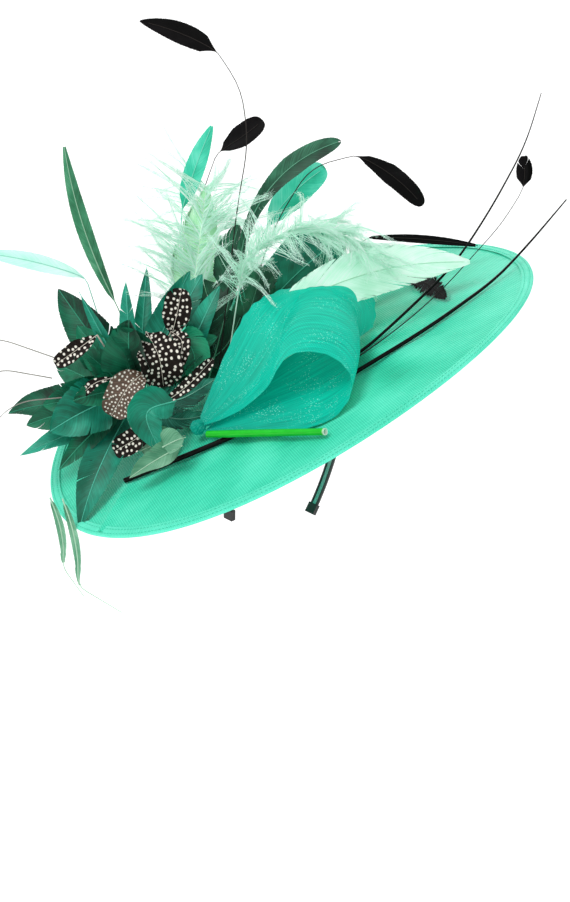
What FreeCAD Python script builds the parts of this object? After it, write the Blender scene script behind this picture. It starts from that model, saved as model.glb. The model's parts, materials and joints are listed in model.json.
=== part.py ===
import FreeCAD, Part
import math
import os
from FreeCAD import Vector

# Wide saucer-brim fascinator on a sprung headband, in millimetres.
# Row frame: +Z up as worn, the wearer faces -Y, +X is the wearer's left.
# The origin is the inner face of the headband at its highest point, where it rests on the head.
# Everything above the head is laid out in the brim's own axes: u along the brim's long axis,
# v across it towards the back of the head, w square to the brim, from the centre of its rim.

# Brim
BRIM_CENTRE = Vector(-12, 14, 4)
BRIM_TILT = 35.5            # the brim leans down towards the wearer's right
BRIM_YAW = 33.0             # its long axis swings forward on the left
BRIM_HALF_LENGTH = 266.0
BRIM_HALF_WIDTH = 227.0
BRIM_RISE = 14.0            # the saucer's centre stands this far above its rim
BRIM_DROOP = 12.75          # the two long ends droop and the two sides lift by this much
DROOP_TURN = 0.305          # radians from the long axis to the line of greatest droop
SINAMAY = 1.0               # two bonded layers of woven straw
HEM_WIDTH = 12.0
HEM_CLOTH = 0.6
EDGE_WIRE = 1.2

# Headband
HEAD_RADIUS = 72.0          # inside of the band over the top of the head
BAND_LEAN = 18.0            # the band's ends sit behind the ears
BAND_THICKNESS = 3.5
BAND_WIDTH = 10.0
CORE_INSET = 1.0
ARM_RADIUS = 240.0          # the arms curve in gently below the ears
ARM_SWEEP = 18.5
FLEX_GAP = 0.3
TIP_WALL = 0.8
TIP_LENGTH = 2.2            # degrees of the arm that each end cap covers

# Pad and stitching under the brim
PAD_U, PAD_V = -24.0, -28.0
PAD_HALF_LENGTH, PAD_HALF_WIDTH = 34.0, 24.0
PAD_DEPTH = 9.0
THREAD = 0.8
STITCH_ANGLE = -36.5        # degrees round the band from the top of the head
STITCHES = (-24, -9, 9, 24)         # along the band from that angle
STITCH_DEPTH = 0.5          # the thread runs just inside the cover's inner face
STITCH_STEP = 0.25

# Feather spray
SPRAY = Vector(-145, 22, 45)        # middle of the bound stem, in brim axes
SPRAY_AZIMUTH, SPRAY_ELEVATION = -98.0, 55.0
BINDING_RADIUS = 6.0
BINDING_ABOVE, BINDING_BELOW = 36.0, 50.0
WIRED_OUT = 1.4             # a petal's root stands this far off the binding
PATCH_U, PATCH_V = -141.0, 44.0
PATCH_HALF_LENGTH, PATCH_HALF_WIDTH = 28.0, 22.0
PATCH = 1.5
VANE = 0.8                  # thickness of a feather's vane
STEM = 0.8                  # radius of an ordinary feather stem
KNOT = Vector(-111, -60, 22)        # gathered end of the crinoline, in brim axes
KNOT_RADIUS = 11.0
CRINOLINE = 1.0
HORN_ROOT = 3.6             # outer radius of a crinoline loop where it leaves the knot
FRONT = Vector(-0.13, -0.88, 0.45)  # the show side, in brim axes
REACH = 60.0                # half height of a cutting tool, taller than what it cuts


# ---- axes -------------------------------------------------------------------------------

tilt, yaw = math.radians(BRIM_TILT), math.radians(BRIM_YAW)
NORMAL = Vector(-math.sin(tilt), 0, math.cos(tilt))
uphill = Vector(math.cos(tilt), 0, math.sin(tilt))
LONG = uphill * math.cos(yaw) - Vector(0, 1, 0) * math.sin(yaw)
ACROSS = uphill * math.sin(yaw) + Vector(0, 1, 0) * math.cos(yaw)


def turned(direction):
    """A direction in brim axes, in row axes."""
    return LONG * direction.x + ACROSS * direction.y + NORMAL * direction.z


def place(point):
    """A point in brim axes, in row axes."""
    return BRIM_CENTRE + turned(point)


def brim_height(u, v):
    """Height of the brim's underside over the rim plane: a shallow dome with drooping ends."""
    x, y = u / BRIM_HALF_LENGTH, v / BRIM_HALF_WIDTH
    droop = (x * x - y * y) * math.cos(2 * DROOP_TURN) + 2 * x * y * math.sin(2 * DROOP_TURN)
    return BRIM_RISE * (1 - x * x - y * y) - BRIM_DROOP * droop


def over_brim(u, v, lift):
    """A point in brim axes, lift above the brim's top face."""
    return Vector(u, v, brim_height(u, v) + SINAMAY + lift)


def spherical(azimuth, elevation):
    a, e = math.radians(azimuth), math.radians(elevation)
    return Vector(math.cos(e) * math.cos(a), math.cos(e) * math.sin(a), math.sin(e))


SPRAY_AXIS = spherical(SPRAY_AZIMUTH, SPRAY_ELEVATION)
SPRAY_SIDE = spherical(SPRAY_AZIMUTH + 90, 0)
SPRAY_TOP = SPRAY_AXIS.cross(SPRAY_SIDE)


def save(name, solids):
    """Write one node; a list of solids becomes one group."""
    shape = solids if not isinstance(solids, list) else Part.makeCompound(solids)
    shape.exportStep("parts/" + name + ".step")


# ---- brim -------------------------------------------------------------------------------

def slab(low, high):
    """The brim's curved sheet between two heights above its underside."""
    square, line = (1, -1, 1), (-1, 0, 1)
    bend = BRIM_DROOP * math.cos(2 * DROOP_TURN)
    skew = 2 * BRIM_DROOP * math.sin(2 * DROOP_TURN)
    surface = Part.BezierSurface()
    surface.increase(2, 2)
    for i in range(3):
        for j in range(3):
            height = (BRIM_RISE + low - (BRIM_RISE + bend) * square[i]
                      - (BRIM_RISE - bend) * square[j] - skew * line[i] * line[j])
            pole = Vector(BRIM_HALF_LENGTH * line[i], BRIM_HALF_WIDTH * line[j], height)
            surface.setPole(i + 1, j + 1, place(pole))
    return surface.toShape().extrude(NORMAL * (high - low))


def oval(half_length, half_width, u=0.0, v=0.0):
    """A tall oval prism square to the brim."""
    base = Vector(u, v, -REACH)
    ellipse = Part.Ellipse(place(base + Vector(half_length, 0, 0)),
                           place(base + Vector(0, half_width, 0)), place(base))
    face = Part.Face(Part.Wire([ellipse.toShape()]))
    return face.extrude(NORMAL * 2 * REACH)


def rim_prism(inset):
    return oval(BRIM_HALF_LENGTH - inset, BRIM_HALF_WIDTH - inset)


def make_brim():
    wire_inner = HEM_CLOTH + EDGE_WIRE
    disc = slab(0, SINAMAY).common(rim_prism(wire_inner))
    wire = slab(0, SINAMAY).common(rim_prism(HEM_CLOTH)).cut(rim_prism(wire_inner))
    hem = slab(-HEM_CLOTH, SINAMAY + HEM_CLOTH).common(rim_prism(0)).cut(rim_prism(HEM_WIDTH))
    hem = hem.cut(slab(0, SINAMAY).common(rim_prism(HEM_CLOTH)))
    save("brim_disc", disc.Solids[0])
    save("brim_edge_wire", wire.Solids[0])
    save("brim_hem_binding", hem.Solids[0])


# ---- headband ---------------------------------------------------------------------------

lean = math.radians(BAND_LEAN)
BAND_DOWN = Vector(0, math.sin(lean), -math.cos(lean))
BAND_AXIS = Vector(0, math.cos(lean), math.sin(lean))


def band_point(x, down, aside):
    return Vector(x, 0, 0) + BAND_DOWN * down + BAND_AXIS * aside


def band_sector(centre_x, radii, angles, half_width):
    """A strip bent about an axis along the band's width; angles run from straight down."""
    def spot(radius, degrees):
        a = math.radians(degrees)
        return band_point(centre_x + radius * math.sin(a), HEAD_RADIUS - radius * math.cos(a),
                          -half_width)
    start, end = angles
    middle = (start + end) / 2
    inner, outer = radii
    edges = [Part.Arc(spot(inner, start), spot(inner, middle), spot(inner, end)).toShape(),
             Part.LineSegment(spot(inner, end), spot(outer, end)).toShape(),
             Part.Arc(spot(outer, end), spot(outer, middle), spot(outer, start)).toShape(),
             Part.LineSegment(spot(outer, start), spot(inner, start)).toShape()]
    return Part.Face(Part.Wire(edges)).extrude(BAND_AXIS * 2 * half_width)


def covered_strip(centre_x, radius, angles):
    """The flat spring core and the satin tube round it."""
    inner, outer = radius, radius + BAND_THICKNESS
    core = band_sector(centre_x, (inner + CORE_INSET, outer - CORE_INSET), angles,
                       BAND_WIDTH / 2 - CORE_INSET)
    cover = band_sector(centre_x, (inner, outer), angles, BAND_WIDTH / 2).cut(core)
    return core, cover


def make_headband():
    core, cover = covered_strip(0, HEAD_RADIUS, (-90, 90))
    save("band_core_top", core)
    save("band_satin_top", cover)
    gap = math.degrees(FLEX_GAP / ARM_RADIUS)
    for side, name in ((-1, "right"), (1, "left")):
        centre = -side * (ARM_RADIUS - HEAD_RADIUS)
        start, end = side * (90 + gap), side * (90 + ARM_SWEEP)
        core, cover = covered_strip(centre, ARM_RADIUS, (start, end))
        radii = (ARM_RADIUS - TIP_WALL, ARM_RADIUS + BAND_THICKNESS + TIP_WALL)
        tip = band_sector(centre, radii, (end - side * TIP_LENGTH, end + side * 0.4),
                          BAND_WIDTH / 2 + TIP_WALL)
        save("band_core_" + name, core)
        save("band_satin_" + name, cover)
        save("band_tip_" + name, tip.cut(core).cut(cover))


def tube(points, radius):
    """A round rod along straight runs joined by tangent arcs; points are in brim axes."""
    spots = [place(p) for p in points]
    edges, last = [], spots[0]
    for before, corner, after in zip(spots, spots[1:], spots[2:]):
        back, ahead = before - corner, after - corner
        shorter = min(back.Length, ahead.Length)
        back.normalize()
        ahead.normalize()
        trim = 0.45 * shorter
        half_turn = (math.pi - back.getAngle(ahead)) / 2
        inward = (back + ahead).normalize()
        bow = trim * math.tan(half_turn / 2)
        first, final = corner + back * trim, corner + ahead * trim
        edges.append(Part.LineSegment(last, first).toShape())
        edges.append(Part.Arc(first, corner + inward * bow, final).toShape())
        last = final
    edges.append(Part.LineSegment(last, spots[-1]).toShape())
    path = Part.Wire(edges)
    ring = Part.Wire([Part.Circle(spots[0], spots[1] - spots[0], radius).toShape()])
    return path.makePipeShell([ring], True, False)


def make_pad():
    centre = band_point(0, HEAD_RADIUS, -REACH)
    head = Part.makeCylinder(HEAD_RADIUS + BAND_THICKNESS, 2 * REACH, centre, BAND_AXIS)
    pad = slab(-PAD_DEPTH, 0).common(oval(PAD_HALF_LENGTH, PAD_HALF_WIDTH, PAD_U, PAD_V))
    save("base_pad", pad.cut(head).Solids[0])
    save("base_stitches", [thread_loop(offset) for offset in STITCHES])


def thread_loop(offset):
    """One stitch: through the band's cover, up past its edges, the pad and the brim."""
    angle = math.radians(STITCH_ANGLE) + offset / (HEAD_RADIUS + BAND_THICKNESS)
    out = band_point(math.sin(angle), -math.cos(angle), 0)
    middle = band_point(0, HEAD_RADIUS, 0)
    half = BAND_WIDTH / 2 + THREAD
    low = HEAD_RADIUS + STITCH_DEPTH
    corners = []
    for side in (-1, 1):
        foot = middle + out * low + BAND_AXIS * side * half
        reach = BAND_THICKNESS
        while below_brim(foot + out * reach):
            reach += STITCH_STEP
        corners.append((foot, foot + out * (reach + THREAD)))
    (low_a, high_a), (low_b, high_b) = corners
    rods = [rod(low_a, high_a), rod(high_a, high_b), rod(high_b, low_b), rod(low_b, low_a)]
    balls = [Part.makeSphere(THREAD / 2, spot) for spot in (low_a, high_a, high_b, low_b)]
    return rods[0].multiFuse(rods[1:] + balls)


def below_brim(point):
    """True where a row-frame point lies under the brim's top face."""
    step = point - BRIM_CENTRE
    u, v, w = step.dot(LONG), step.dot(ACROSS), step.dot(NORMAL)
    return w < brim_height(u, v) + SINAMAY


def rod(start, end):
    return Part.makeCylinder(THREAD / 2, (end - start).Length, start, end - start)


# ---- feathers ---------------------------------------------------------------------------

def local_axes(root, tip, face):
    """Chord direction, width direction and show-side normal, all in row axes."""
    chord = turned(tip - root).normalize()
    facing = turned(face)
    facing = (facing - chord * facing.dot(chord)).normalize()
    return chord, facing.cross(chord), facing


def outline(spot, length, half_width, stem, widest):
    """A leaf shape: a narrow stem, a swelling vane and a pointed tip."""
    sides = []
    for side in (1, -1):
        knots = [(0, STEM), (stem, STEM), ((stem + widest) / 2, 0.82 * half_width),
                 (widest, half_width), ((1 + widest) / 2, 0.74 * half_width), (1, 0)]
        sides.append([spot(s * length, side * y) for s, y in knots])
    upper, lower = sides
    edges = [Part.LineSegment(upper[0], upper[1]).toShape(),
             Part.Arc(upper[1], upper[2], upper[3]).toShape(),
             Part.Arc(upper[3], upper[4], upper[5]).toShape(),
             Part.Arc(lower[5], lower[4], lower[3]).toShape(),
             Part.Arc(lower[3], lower[2], lower[1]).toShape(),
             Part.LineSegment(lower[1], lower[0]).toShape(),
             Part.LineSegment(lower[0], upper[0]).toShape()]
    return Part.Face(Part.Wire(edges))


def leaf(root, tip, width, face, bow=8.0, stem=0.25, widest=0.6):
    """A feather whose vane is bent over its show side by bow at the middle of the chord."""
    chord, across, facing = local_axes(root, tip, face)
    start = place(root)
    length = (tip - root).Length
    deep = abs(bow) + 4

    def spot(along, aside):
        return start + chord * along + across * aside - facing * deep

    prism = outline(spot, length, width / 2, stem, widest).extrude(facing * 2 * deep)
    return prism.common(bent_sheet(start, chord, across, facing, length, width, bow))


def bent_sheet(start, chord, across, facing, length, width, bow):
    """A strip of vane thickness, bent about the width direction."""
    margin = across * (width / 2 + 2)
    rows = []
    for offset in (0, VANE):
        rows.append([start - margin + chord * (length * s) + facing * (offset + bow * h)
                     for s, h in ((0, 0), (0.5, 1), (1, 0))])
    below, above = rows
    edges = [Part.Arc(*below).toShape(), Part.LineSegment(below[2], above[2]).toShape(),
             Part.Arc(above[2], above[1], above[0]).toShape(),
             Part.LineSegment(above[0], below[0]).toShape()]
    return Part.Face(Part.Wire(edges)).extrude(margin * 2)


def sword(root, tip, width, face, sweep):
    """A flat feather curved in its own plane like a sabre; sweep is the chord's bow."""
    chord, across, facing = local_axes(root, tip, face)
    start = place(root)
    length = (tip - root).Length
    middle = start + chord * (length / 2)
    heel = across * STEM
    end = start + chord * length
    edges = [Part.Arc(start + heel, middle + across * (sweep + width / 2), end).toShape(),
             Part.Arc(end, middle + across * (sweep - width / 2), start - heel).toShape(),
             Part.LineSegment(start - heel, start + heel).toShape()]
    return Part.Face(Part.Wire(edges)).extrude(facing * VANE)


def stemmed(stem_points, tip, width, face, sweep, radius=STEM):
    """A stripped quill: a bare round stem that carries a flat sabre vane at its end."""
    stem = tube(stem_points, radius)
    heel = stem_points[-1]
    back = (heel - tip).normalize() * 2
    return stem.fuse(sword(heel + back, tip, width, face, sweep))


def make_spray_base():
    foot = SPRAY - SPRAY_AXIS * BINDING_BELOW
    area = oval(PATCH_HALF_LENGTH, PATCH_HALF_WIDTH, PATCH_U, PATCH_V)
    patch = slab(SINAMAY, SINAMAY + PATCH).common(area)
    stem = Part.makeCylinder(BINDING_RADIUS, BINDING_ABOVE + BINDING_BELOW, place(foot),
                             turned(SPRAY_AXIS))
    save("spray_felt_patch", patch.Solids[0])
    save("spray_binding", stem.cut(slab(-REACH, SINAMAY + PATCH)).Solids[0])


def on_spray(tier, clock, opening, length, width, bow, stem=0.3):
    """A petal wired to the bound stem: tier is its height along the stem, clock its turn
    about the stem, and opening its angle from the stem."""
    c, o = math.radians(clock), math.radians(opening)
    out = SPRAY_SIDE * math.cos(c) + SPRAY_TOP * math.sin(c)
    heading = SPRAY_AXIS * math.cos(o) + out * math.sin(o)
    root = SPRAY + SPRAY_AXIS * tier + out * (BINDING_RADIUS + WIRED_OUT)
    face = SPRAY_AXIS - heading * SPRAY_AXIS.dot(heading)
    return leaf(root, root + heading * length, width, face, bow, stem)


# Petals: name, then for each petal of the node its
# tier, clock, opening, length, width and bow
PETALS = (
    ("petals_back", (-28, 8, 97, 105, 26, 10), (-28, 122, 95, 115, 32, 10),
     (-30, 152, 98, 110, 30, 10)),
    ("petal_long_left", (-20, 158, 80, 132, 30, 14)),
    ("petal_pale_left", (-24, 179, 84, 126, 20, 8)),
    ("petals_high_right", (-14, 41, 74, 140, 26, 10), (-22, 20, 84, 122, 20, 8)),
    ("petal_high_left", (-10, 100, 72, 135, 34, 12)),
    ("petal_low_left", (-6, 171, 79, 107, 30, 9)),
    ("petal_drooping", (-2, 227, 86, 145, 34, 10)),
    ("petals_narrow", (-20, 62, 76, 145, 14, 6), (2, 66, 64, 112, 14, 5),
     (0, 92, 58, 116, 10, 4)),
    ("petal_pointed_left", (5, 167, 72, 86, 30, 5)),
    ("petal_dark_low", (5, 207, 82, 104, 18, 6)),
    ("petal_dark_right", (0, 5, 78, 98, 30, 8)),
    ("petal_barbed_right", (10, 334, 80, 70, 30, 6)),
    ("petal_broad_low", (15, 189, 77, 85, 40, 6)),
    ("petal_cupped", (16, 55, 48, 66, 34, 8)),
    ("petals_inner", (-2, 104, 64, 90, 28, 6), (14, 120, 46, 60, 24, 4),
     (22, 186, 56, 58, 24, 4)),
    ("petal_curled_front", (25, 269, 83, 62, 32, 6)))
GUINEA = (
    ("guinea_high", (12, 28, 60, 106, 30, 6)),
    ("guinea_large", (28, 4, 55, 68, 34, 4)),
    ("guinea_front", (34, 305, 36, 46, 32, 3)),
    ("guinea_small", (30, 337, 66, 72, 22, 4), (18, 136, 44, 72, 15, 3),
     (30, 196, 46, 50, 12, 3), (20, 255, 86, 74, 28, 5), (15, 226, 84, 92, 14, 4)))


def make_petals():
    for name, *feathers in PETALS + GUINEA:
        solids = [on_spray(*feather) for feather in feathers]
        save(name, solids if len(solids) > 1 else solids[0])


def make_coque():
    """Broad coque tail feathers on bare stems, rising behind the petals."""
    rows = (
        ("coque_tall_left", [(-125, 78, 14), (-112, 96, 112)], (-76, 173, 268), 16, 8),
        ("coque_upright", [(-100, 64, 14), (-8, 118, 158)], (65, 138, 219), 21, 2),
        ("coque_dark_arched", [(-80, 16, 17), (21, 53, 115)], (165, 56, 163), 24, 23),
        ("coque_rounded", [(-70, 62, 15), (62, 112, 100)], (150, 113, 128), 32, 6),
        ("coque_low_right", [(-58, 46, 17), (74, 96, 58)], (142, 96, 76), 34, 4),
        ("coque_dark_fan", [(-72, 62, 15), (-17, 47, 76)], (32, 65, 138), 34, 3),
        ("coque_pale_left", [(-150, 92, 14), (-126, 110, 148)], (-209, 150, 213), 18, -4))
    for name, stem, tip, width, sweep in rows:
        points = [Vector(*p) for p in stem]
        save(name, stemmed(points, Vector(*tip), width, FRONT, sweep))


def make_stripped_quills():
    """Black goose quills stripped bare, with a small vane left at the tip."""
    rows = (
        ("quill_tall", [(-75, -5, 17), (35, 63, 152), (78, 84, 200), (98, 104, 246),
                        (95, 123, 285)], (40, 160, 342), 22, -4),
        ("quill_short", [(-85, 84, 16), (19, 145, 151), (59, 156, 184)], (119, 151, 193), 20, -2),
        ("quill_arched", [(-45, 32, 16), (60, 72, 112), (128, 94, 143), (176, 90, 132)],
         (210, 48, 61), 21, 6),
        ("quill_bobbed", [(-70, -80, 14), (43, -98, 19), (150, -54, 13), (262, -6, 28),
                          (301, 4, 46)], (318, 16, 75), 17, -1),
        ("quill_ragged", [(-38, 8, 18), (90, 60, 15), (140, 66, 12), (164, 42, 9)],
         (163, -66, 12), 18, 3),
        ("quill_back", [(-45, 54, 17), (144, 57, 60)], (240, -4, 12), 9, 3))
    for name, stem, tip, width, sweep in rows:
        points = [Vector(*p) for p in stem]
        save(name, stemmed(points, Vector(*tip), width, FRONT, sweep, 0.7))


def make_long_quills():
    """Two long bare black quills that sweep across the brim and past its edge."""
    low = 3.6
    flat = [over_brim(u, v, low) for u, v in
            ((-197, -43), (-150, -68), (-105, -90), (-30, -117), (40, -117), (124, -106))]
    save("long_quill_low", tube(flat + [Vector(215, -66, 6), Vector(275, -27, 4),
                                        Vector(335, -12, 20)], 2.0))
    steep = [over_brim(u, v, 2) for u, v in ((-60, -60), (0, -84), (60, -82))]
    save("long_quill_high", tube(steep + [Vector(122, -52, 16), Vector(190, -34, 26),
                                          Vector(249, -28, 57), Vector(310, -18, 95),
                                          Vector(350, -7, 133)], 1.4))


def make_green_quill():
    root, end = Vector(-108, -80, 20), Vector(-24, -190, 17)
    reach = turned(end - root)
    outer = Part.makeCylinder(3.6, reach.Length, place(root), reach)
    inner = Part.makeCylinder(2.7, reach.Length, place(root), reach)
    save("green_quill", outer.cut(inner))


def make_plumes():
    save("goose_feather", stemmed([Vector(-90, -36, 22), Vector(-7, -27, 68)],
                                  Vector(207, -50, 26), 48, FRONT, 19))
    save("ostrich_plume_upright", leaf(Vector(-106, 30, 17), Vector(28, 119, 171), 60, FRONT, -6, 0.35))
    crest = Vector(6, 22, 108)
    stem = tube([Vector(-60, 8, 18), crest], STEM)
    vane = leaf(crest - Vector(2, 1, 2), Vector(122, -14, 62), 40, Vector(0.4, 0, 0.9), 40, 0.05)
    save("ostrich_plume_arched", stem.fuse(vane))


def horn(mouth, mouth_radius):
    """A crinoline loop as a thin open cone from the knot to its mouth."""
    axis = (mouth - KNOT).normalize()
    root = KNOT + axis * (KNOT_RADIUS + 0.5)
    length = (mouth - root).Length
    outer = Part.makeCone(HORN_ROOT, mouth_radius, length, place(root), turned(axis))
    inner = Part.makeCone(HORN_ROOT - CRINOLINE, mouth_radius - CRINOLINE, length, place(root),
                          turned(axis))
    return outer.cut(inner)


def make_crinoline():
    save("crinoline_knot", Part.makeSphere(KNOT_RADIUS, place(KNOT)))
    save("crinoline_loop_front", horn(Vector(-15, -150, 56), 36))
    save("crinoline_loop_back", horn(Vector(48, -70, 72), 28))


def make_small_feathers():
    low = Vector(-0.1, -0.5, 0.85)
    sage = [leaf(Vector(*root), Vector(*tip), width, low, 3, 0.1, 0.5) for root, tip, width in
            (((-122, -50, 15), (-179, -40, 22), 22), ((-131, -76, 20), (-194, -70, 15), 22),
             ((-126, -86, 30), (-160, -84, 33), 16))]
    save("sage_leaves", sage)
    drops = []
    for root, tip, end in (((-266, -16, 16), (-288, -48, -44), (-284, -50, -86)),
                           ((-256, -38, 19), (-284, -74, -56), (-258, -72, -110))):
        root, tip, end = Vector(*root), Vector(*tip), Vector(*end)
        middle = root + (tip - root) * 0.8
        drops.append(sword(root, tip, 8, FRONT, 5).fuse(tube([middle, tip, end], 0.5)))
    save("hanging_hackles", drops)
    wisps = [[(-190, 40, 110), (-235, 80, 150), (-270, 110, 150), (-290, 120, 120)],
             [(-205, 60, 90), (-250, 90, 118), (-285, 105, 100), (-292, 100, 60)],
             [(-200, 20, 80), (-250, 40, 96), (-290, 50, 78)]]
    save("hackle_wisps", [tube([Vector(*p) for p in line], 0.5) for line in wisps])


def main():
    os.makedirs("parts", exist_ok=True)
    make_brim()
    make_headband()
    make_pad()
    make_spray_base()
    make_petals()
    make_coque()
    make_stripped_quills()
    make_long_quills()
    make_green_quill()
    make_plumes()
    make_crinoline()
    make_small_feathers()


main()
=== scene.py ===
import json
import math

import bpy
import numpy as np
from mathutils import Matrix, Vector
from mathutils.bvhtree import BVHTree


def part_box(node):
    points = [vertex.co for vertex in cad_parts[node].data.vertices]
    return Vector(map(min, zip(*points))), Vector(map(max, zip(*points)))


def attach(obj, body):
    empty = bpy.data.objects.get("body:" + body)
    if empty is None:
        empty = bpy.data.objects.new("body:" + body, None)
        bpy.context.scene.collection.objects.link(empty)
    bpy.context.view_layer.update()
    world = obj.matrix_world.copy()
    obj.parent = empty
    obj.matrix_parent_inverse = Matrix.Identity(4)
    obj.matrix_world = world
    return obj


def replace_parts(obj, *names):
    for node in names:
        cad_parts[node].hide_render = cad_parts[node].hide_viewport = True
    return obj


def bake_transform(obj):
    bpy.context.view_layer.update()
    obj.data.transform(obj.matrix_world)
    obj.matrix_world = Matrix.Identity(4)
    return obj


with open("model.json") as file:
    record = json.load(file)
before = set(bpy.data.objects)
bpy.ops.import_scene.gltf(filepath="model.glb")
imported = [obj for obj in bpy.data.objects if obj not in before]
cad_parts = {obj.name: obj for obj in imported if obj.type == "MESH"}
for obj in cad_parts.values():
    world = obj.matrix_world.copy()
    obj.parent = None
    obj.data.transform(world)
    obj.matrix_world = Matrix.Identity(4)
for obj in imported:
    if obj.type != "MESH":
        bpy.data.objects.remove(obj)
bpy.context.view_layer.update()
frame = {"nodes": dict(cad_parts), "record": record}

# The looks of a saucer-brim fascinator, in metres, in the imported part's own frame.
# A feather's middle line, width and facing are read from its CAD plate, or drawn where
# it curls over others. It is then built again from separate barbs on a shaft.

MM = 0.001

# Camera
AIM = (-0.0134, 0.0149, -0.076)
AZIMUTH, ELEVATION = math.radians(-48), math.radians(1.5)
DISTANCE = 1.754
LENS, SENSOR = 70, 36
FLOOR = -0.48

# Brim and headband: the CAD's driving dimensions
BRIM_CENTRE = np.array((-0.012, 0.014, 0.004))
BRIM_TILT, BRIM_YAW = math.radians(35.5), math.radians(33)
HALF_LENGTH, HALF_WIDTH = 0.266, 0.227
HEAD_RADIUS, ARM_RADIUS = 0.072, 0.24
BAND_LEAN, ARM_SWEEP = math.radians(18), math.radians(18.5)
BAND_THICKNESS, BAND_WIDTH = 0.0035, 0.010

# Axes: the brim's own, and the show side's right, up and towards
UPHILL = np.array((math.cos(BRIM_TILT), 0, math.sin(BRIM_TILT)))
LONG = UPHILL * math.cos(BRIM_YAW) - np.array((0, 1, 0)) * math.sin(BRIM_YAW)
ACROSS = UPHILL * math.sin(BRIM_YAW) + np.array((0, 1, 0)) * math.cos(BRIM_YAW)
NORMAL = np.array((-math.sin(BRIM_TILT), 0, math.cos(BRIM_TILT)))
SHOW_RIGHT = np.array((math.cos(AZIMUTH), math.sin(AZIMUTH), 0))
SHOW_UP = np.array((0, 0, 1))
TOWARDS = np.array((math.sin(AZIMUTH), -math.cos(AZIMUTH), 0))
SHOW_SIDE = TOWARDS + 0.25 * SHOW_UP
STEM_RADIUS = 0.8 * MM
CIRCLE = 2 * math.pi


def shown(offsets):
    """Offsets given as right, up and towards the show side, in the part's frame."""
    return np.asarray(offsets) @ np.array((SHOW_RIGHT, SHOW_UP, TOWARDS))


# ---- reading the frame ----

def middle_of(node):
    low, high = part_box(node)
    return np.array((low + high) / 2)


SPRAY = middle_of("spray_binding")
KNOT = middle_of("crinoline_knot")


def size_of(vectors):
    return np.linalg.norm(vectors, axis=-1)


def unit(vectors):
    return vectors / np.maximum(size_of(vectors), 1e-12)[..., None]


def lengths(points):
    """The length along a path up to each of its points."""
    return np.append(0, np.cumsum(size_of(np.diff(points, axis=0))))


def between(s, marks, rows):
    """The point at each place s on a path whose points lie at the marks."""
    return np.stack([np.interp(s, marks, rows[:, k]) for k in range(3)], axis=-1)


def stacked(*parts):
    return np.stack(np.broadcast_arrays(*parts), axis=-1)


def angles(count):
    return np.linspace(0, CIRCLE, count, endpoint=False)


def rng_for(name):
    """The same random numbers for a name on every run."""
    return np.random.default_rng(sum(ord(letter) * (i + 1) for i, letter in enumerate(name)))


def solids_of(node):
    """The two ends of every edge of each separate solid in a node."""
    mesh = frame["nodes"][node].data
    spots = np.array([v.co for v in mesh.vertices], float)
    pairs = np.array([e.vertices for e in mesh.edges])
    spots, same = np.unique(np.round(spots, 6), axis=0, return_inverse=True)
    pairs = same.reshape(-1)[pairs]
    group = np.arange(len(spots))
    while True:
        low = group[pairs].min(axis=1)
        joined = group.copy()
        np.minimum.at(joined, pairs, low[:, None])
        if (joined == group).all():
            break
        group = joined
    owner = group[pairs[:, 0]]
    return [(spots[pairs[owner == g, 0]], spots[pairs[owner == g, 1]]) for g in np.unique(owner)]


class Line:
    """The middle line of a feather, from root to tip, with its half width and facing."""

    BARE = 0.0013           # a half width under this is bare stem

    def __init__(self, centres, acrosses, halves):
        along = lengths(centres)
        self.length = along[-1]
        self.s = along / self.length
        self.centre = self.soften(centres)
        self.half = halves
        self.tangent = unit(np.gradient(self.centre, axis=0))
        across = acrosses - self.tangent * (acrosses * self.tangent).sum(1, keepdims=True)
        self.across = unit(self.soften(across))
        if (np.cross(self.tangent, self.across) @ SHOW_SIDE).mean() < 0:
            self.across = -self.across
        vane = self.s[halves > self.BARE]
        self.start, self.end = (vane[0], vane[-1]) if len(vane) else (1.0, 1.0)

    @staticmethod
    def soften(rows):
        padded = np.pad(rows, ((2, 2), (0, 0)), mode="edge")
        return sum(padded[i:i + len(rows)] for i in range(5)) / 5

    def at(self, s):
        """Centre, tangent, across and normal at each share of the length."""
        centre, tangent, across = (between(s, self.s, rows) for rows in
                                   (self.centre, self.tangent, self.across))
        tangent, across = unit(tangent), unit(across)
        return centre, tangent, across, np.cross(tangent, across)

    def run(self, s):
        """Millimetres from the root, as a tube's numbers for its material."""
        return stacked(s * self.length / MM, 0, 0)[None, :, None]


STEP = 2 * MM  # between one cut through a plate and the next
REACH = 36 * MM  # edges further than this from a cut belong elsewhere on the plate
HEEL = 4.5 * MM  # size of the plate's foot


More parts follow.
